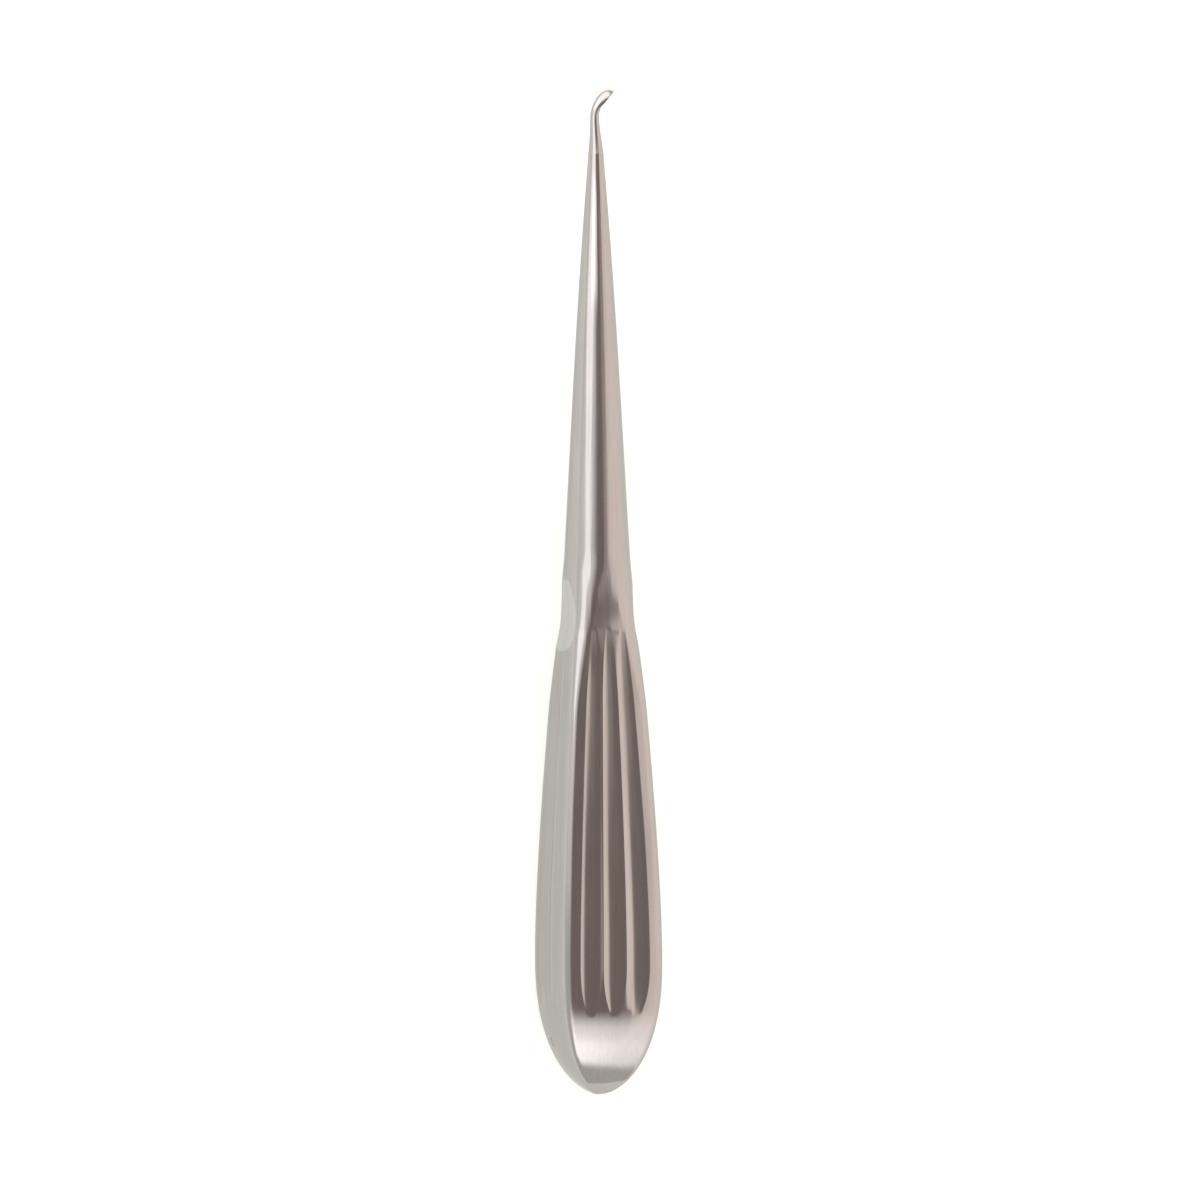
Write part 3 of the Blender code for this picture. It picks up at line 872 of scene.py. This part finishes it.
def mix_colours(tree, fraction, first, second):
    made = add_node(tree, 'ShaderNodeMix', data_type='RGBA')
    sockets = (made.inputs[0], made.inputs[6], made.inputs[7])
    for socket, value in zip(sockets, (fraction, first, second)):
        if isinstance(value, bpy.types.NodeSocket):
            tree.links.new(value, socket)
        else:
            socket.default_value = (*value, 1.0)
    return made.outputs[2]


def blend_values(tree, first, second, share):
    """A mean of two values that gives the second one this share."""
    return math_node(tree, 'ADD', math_node(tree, 'MULTIPLY', first, 1.0 - share),
                     math_node(tree, 'MULTIPLY', second, share))


def make_steel(name, colour, roughness, brushing, anisotropy, edge_tint):
    """Steel with fine brushing along the instrument, cloudy wear and a fine grain."""
    material = bpy.data.materials.new(name)
    material.use_nodes = True
    tree = material.node_tree
    shader = tree.nodes["Principled BSDF"]
    shader.inputs['Metallic'].default_value = 1.0
    shader.inputs['Anisotropic'].default_value = anisotropy
    shader.inputs['Specular Tint'].default_value = (*edge_tint, 1.0)

    fine = stretched_noise(tree, *FINE_STREAKS)
    coarse = stretched_noise(tree, *COARSE_STREAKS)
    clouds = stretched_noise(tree, *CLOUDS, detail=CLOUD_DETAIL)
    grain = stretched_noise(tree, *GRAIN, detail=GRAIN_DETAIL)

    streaks = blend_values(tree, fine, coarse, COARSE_SHARE)
    tone = blend_values(tree, streaks, clouds, CLOUD_SHARE)
    darker = shade(colour, DARKER)
    lighter = tuple(min(part, 1.0) for part in shade(colour, LIGHTER))
    tint = mix_colours(tree, spread_node(tree, tone, *NOISE_RANGE, 0.0, 1.0), darker, lighter)
    tree.links.new(tint, shader.inputs['Base Color'])

    wear = blend_values(tree, coarse, clouds, WEAR_CLOUD_SHARE)
    rough = spread_node(tree, wear, *NOISE_RANGE,
                        roughness - ROUGHNESS_SPREAD, roughness + ROUGHNESS_SPREAD)
    tree.links.new(rough, shader.inputs['Roughness'])

    relief = blend_values(tree, fine, grain, GRAIN_SHARE)
    bump = add_node(tree, 'ShaderNodeBump',
                    {'Height': relief, 'Strength': 1.0, 'Distance': brushing * MM})
    tree.links.new(bump.outputs['Normal'], shader.inputs['Normal'])
    tangent = add_node(tree, 'ShaderNodeTangent', direction_type='RADIAL', axis='Y')
    tree.links.new(tangent.outputs['Tangent'], shader.inputs['Tangent'])
    return material


# ---------------------------------------------------------------- stage

def make_floor():
    """A white table that glows a little, so that the object throws hardly any shadow."""
    material = bpy.data.materials.new("white_table")
    material.use_nodes = True
    tree = material.node_tree
    shader = tree.nodes["Principled BSDF"]
    shader.inputs['Roughness'].default_value = FLOOR_ROUGHNESS
    shader.inputs['Base Color'].default_value = (*FLOOR_COLOUR, 1.0)
    shader.inputs['Emission Color'].default_value = (*FLOOR_GLOW_COLOUR, 1.0)
    shader.inputs['Emission Strength'].default_value = FLOOR_GLOW
    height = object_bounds()[0].z - FLOOR_DROP
    bpy.ops.mesh.primitive_plane_add(size=FLOOR_SIZE, location=(0.0, 0.0, height))
    floor = bpy.context.object
    floor.name = "floor"
    floor.data.materials.append(material)


def add_tent_ramp(tree, fraction, stops):
    """Colour by an angle, given as a fraction of a turn from -180: stops of (degrees, colour)."""
    ramp = add_node(tree, 'ShaderNodeValToRGB', {'Fac': fraction})
    ramp.color_ramp.interpolation = 'EASE'
    elements = ramp.color_ramp.elements
    while len(elements) < len(stops):
        elements.new(0.5)
    for element, (degrees, colour) in zip(elements, stops):
        element.position = 0.5 + degrees / 360.0
        element.color = (*colour, 1.0)
    return ramp.outputs['Color']


def add_mask(tree, fraction, stops):
    """A share from 0 to 1: stops of (degrees, share)."""
    greys = [(degrees, (share, share, share)) for degrees, share in stops]
    return add_tent_ramp(tree, fraction, greys)


def make_world():
    """A light tent: pale walls with a dim slot above, and two patches of glow for the ends."""
    world = bpy.data.worlds.new("tent")
    bpy.context.scene.world = world
    world.use_nodes = True
    tree = world.node_tree
    towards = add_node(tree, 'ShaderNodeTexCoord').outputs['Generated']
    split = add_node(tree, 'ShaderNodeSeparateXYZ', {'Vector': towards})
    turn = math_node(tree, 'ARCTAN2', split.outputs['X'], split.outputs['Z'])
    fraction = spread_node(tree, turn, -math.pi, math.pi, 0.0, 1.0)
    along = math_node(tree, 'ARCSINE', split.outputs['Y'], 0.0)
    tilt_fraction = spread_node(tree, along, -math.pi, math.pi, 0.0, 1.0)
    askew = math_node(tree, 'MULTIPLY', spread_node(tree, along, *NECK_TURN_START, 0.0, 1.0),
                      spread_node(tree, along, *NECK_TURN_END, NECK_TURN / math.tau, 0.0))
    over_shank = add_tent_ramp(tree, math_node(tree, 'ADD', fraction, askew), OVER_SHANK)
    over_handle = add_tent_ramp(tree, fraction, OVER_HANDLE)
    shank_side = spread_node(tree, along, *HANDLE_TO_SHANK, 0.0, 1.0)
    sky = mix_colours(tree, shank_side, over_handle, over_shank)
    tilt = math_node(tree, 'ABSOLUTE', along, 0.0)
    end_wall = spread_node(tree, tilt, *END_WALL, 0.0, 1.0)
    sky = mix_colours(tree, end_wall, sky, TENT_END)
    lower = math_node(tree, 'MULTIPLY', add_mask(tree, tilt_fraction, BUTT_GLOW_TILT),
                      add_mask(tree, fraction, BUTT_GLOW_ROUND))
    sky = mix_colours(tree, lower, sky, BUTT_GLOW)
    upper = math_node(tree, 'MULTIPLY', add_mask(tree, tilt_fraction, TIP_GLOW_TILT),
                      add_mask(tree, fraction, TIP_GLOW_ROUND))
    sky = mix_colours(tree, upper, sky, TIP_GLOW)
    tree.links.new(sky, tree.nodes['Background'].inputs['Color'])


def add_softbox(name, centre, target, size, turn, radiance, colour):
    """A rectangular light that faces a target, turned about its own middle."""
    width, length = size
    light = bpy.data.lights.new(name, 'AREA')
    light.shape = 'RECTANGLE'
    light.size = width
    light.size_y = length
    light.color = colour
    light.energy = radiance * math.pi * width * length
    box = bpy.data.objects.new(name, light)
    bpy.context.scene.collection.objects.link(box)
    back = (Vector(centre) - Vector(target)).normalized()
    right = Vector((0.0, 1.0, 0.0)).cross(back).normalized()
    up = back.cross(right)
    turned_right = right * math.cos(turn) - up * math.sin(turn)
    turned_up = up * math.cos(turn) + right * math.sin(turn)
    facing = Matrix((turned_right, turned_up, back)).transposed().to_4x4()
    box.matrix_world = Matrix.Translation(centre) @ facing
    box.visible_camera = False


def towards_angle(angle, reach):
    """A vector from the long axis, at an angle from straight up."""
    return Vector((math.sin(angle), 0.0, math.cos(angle))) * reach


def make_lights():
    left = math.radians(SOFTBOX_ANGLE)
    centre = place(0.0, NECK_STATION, 0.0) + towards_angle(left + SOFTBOX_LEAN, SOFTBOX_REACH)
    centre.y += SOFTBOX_ABOVE_NECK
    add_softbox("left_softbox", centre, centre - towards_angle(left, 1.0), SOFTBOX_SIZE,
                SOFTBOX_TURN, SOFTBOX_RADIANCE, SOFTBOX_COLOUR)
    tip = place(0.0, TIP_BOX_STATION, 0.0)
    centre = tip + towards_angle(math.radians(TIP_BOX_ANGLE), TIP_BOX_REACH)
    add_softbox("tip_softbox", centre, tip, TIP_BOX_SIZE, 0.0, TIP_BOX_RADIANCE, TIP_BOX_COLOUR)
    shank = place(0.0, STRIP_STATION, 0.0)
    centre = shank + towards_angle(math.radians(STRIP_ANGLE), STRIP_REACH)
    add_softbox("right_strip", centre, shank, STRIP_SIZE, 0.0, STRIP_RADIANCE, STRIP_COLOUR)


def make_camera():
    data = bpy.data.cameras.new("camera")
    data.lens = LENS
    data.sensor_width = SENSOR
    data.clip_start = CLIP_START
    camera = bpy.data.objects.new("camera", data)
    bpy.context.scene.collection.objects.link(camera)
    right = Vector((math.cos(VIEW_ANGLE), 0.0, math.sin(VIEW_ANGLE)))
    back = Vector((-math.sin(VIEW_ANGLE), 0.0, math.cos(VIEW_ANGLE)))
    up = Vector((0.0, 1.0, 0.0))
    target = place(0.0, VIEW_STATION, 0.0) + right * (VIEW_SHIFT * MM)
    distance = VIEW_WIDTH * MM * LENS / SENSOR
    rolled_right = right * math.cos(VIEW_ROLL) - up * math.sin(VIEW_ROLL)
    rolled_up = up * math.cos(VIEW_ROLL) + right * math.sin(VIEW_ROLL)
    turn = Matrix((rolled_right, rolled_up, back)).transposed().to_4x4()
    camera.matrix_world = Matrix.Translation(target + back * distance) @ turn
    bpy.context.scene.camera = camera


# ---------------------------------------------------------------- build

def main():
    satin = make_steel("satin_steel_brushed", **SATIN)
    polished = make_steel("polished_steel_bright", **POLISHED)
    filler = make_steel("filler_steel_ground", **FILLER)
    ground = make_steel("scoop_steel_ground", **GROUND)
    make_handle(satin, ground, filler)
    make_vent(filler)
    make_shank(satin)
    make_joint("neck_bead", NECK_STATION, TANG_RADIUS + BORE_CLEARANCE, filler, "neck_weld")
    make_joint("tip_bead", TIP_STATION, SPIGOT_RADIUS + BORE_CLEARANCE, filler, "tip_braze")
    make_tip(polished)
    bush = bpy.data.objects["neck_bush"]
    bush.data.materials.clear()
    bush.data.materials.append(satin)
    make_floor()
    make_world()
    make_lights()
    make_camera()
    bpy.context.scene.view_settings.view_transform = 'Standard'


main()
